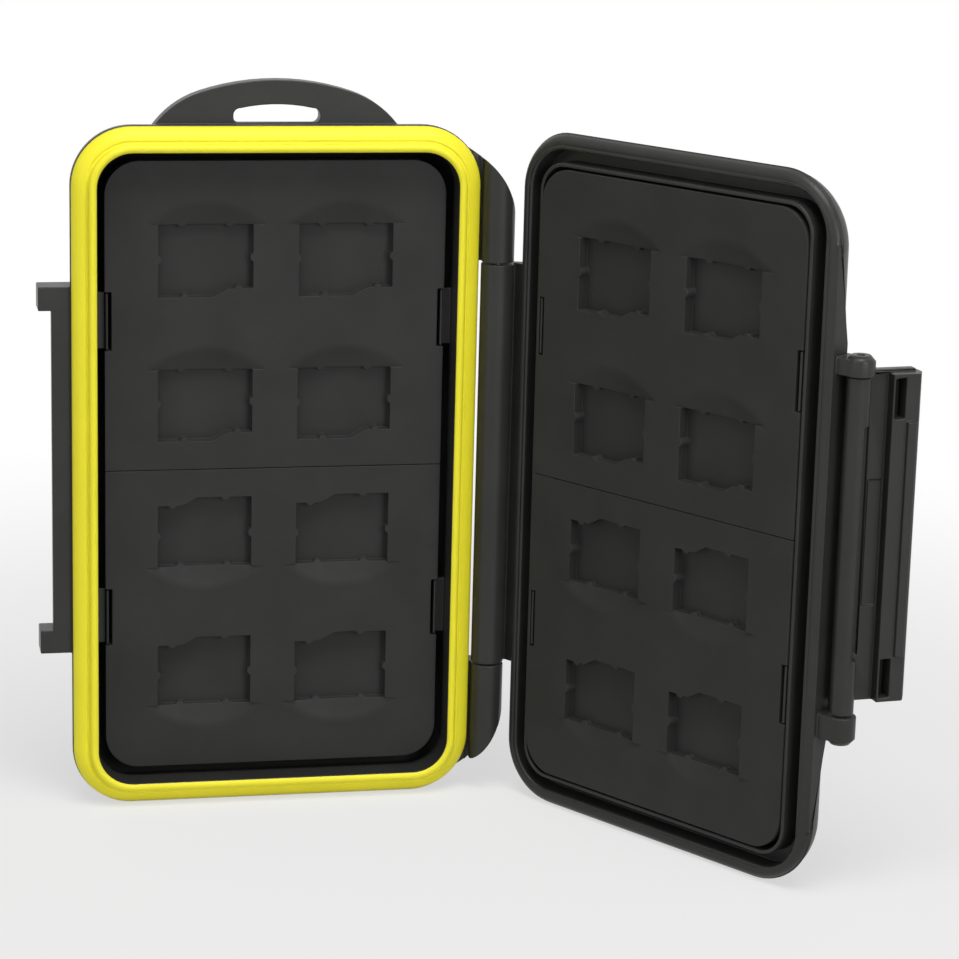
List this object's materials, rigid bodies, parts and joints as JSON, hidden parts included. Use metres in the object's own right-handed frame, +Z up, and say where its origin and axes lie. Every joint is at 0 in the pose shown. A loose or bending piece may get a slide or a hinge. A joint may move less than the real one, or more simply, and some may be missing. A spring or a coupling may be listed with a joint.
{
  "type": "memory card case",
  "caption": "Pocket case that opens like a book, with card trays in both halves, a rubber seal round the base, a long latch flap and a strap tab on top.",
  "frame": {"origin": "centre of the open case's box at the plane it stands on", "axes": "+Z up along the hinge pin, +X from the base half towards the lid half, -Y out of the base half's card trays"},
  "size_m": [0.1289, 0.0705, 0.1199],
  "materials": {
    "shell_plastic": "near-black moulded plastic, fine satin grain",
    "tray_plastic": "charcoal moulded plastic, matte",
    "seal_rubber": "lemon yellow rubber, smooth and slightly matte",
    "pin_steel": "drawn steel wire"
  },
  "bodies": {
    "base": {"base_shell": "shell_plastic", "base_seal": "seal_rubber", "base_tray_upper": "tray_plastic", "base_tray_lower": "tray_plastic", "hinge_pin": "pin_steel"},
    "lid": {"lid_shell": "shell_plastic", "lid_tray_upper": "tray_plastic", "lid_tray_lower": "tray_plastic", "latch_pin": "pin_steel"},
    "flap": {"latch_flap": "shell_plastic"}
  },
  "joints": [
    {"name": "lid_hinge", "type": "hinge", "parent": "base", "child": "lid", "pos_m": [0.00999, 0.0245, 0.05645], "axis": [0, 0, 1], "range_deg": [-123, 57]},
    {"name": "latch_hinge", "type": "hinge", "parent": "lid", "child": "flap", "pos_m": [0.05348, -0.0331, 0.05645], "axis": [0, 0, 1], "range_deg": [-152.5, 3]}
  ]
}
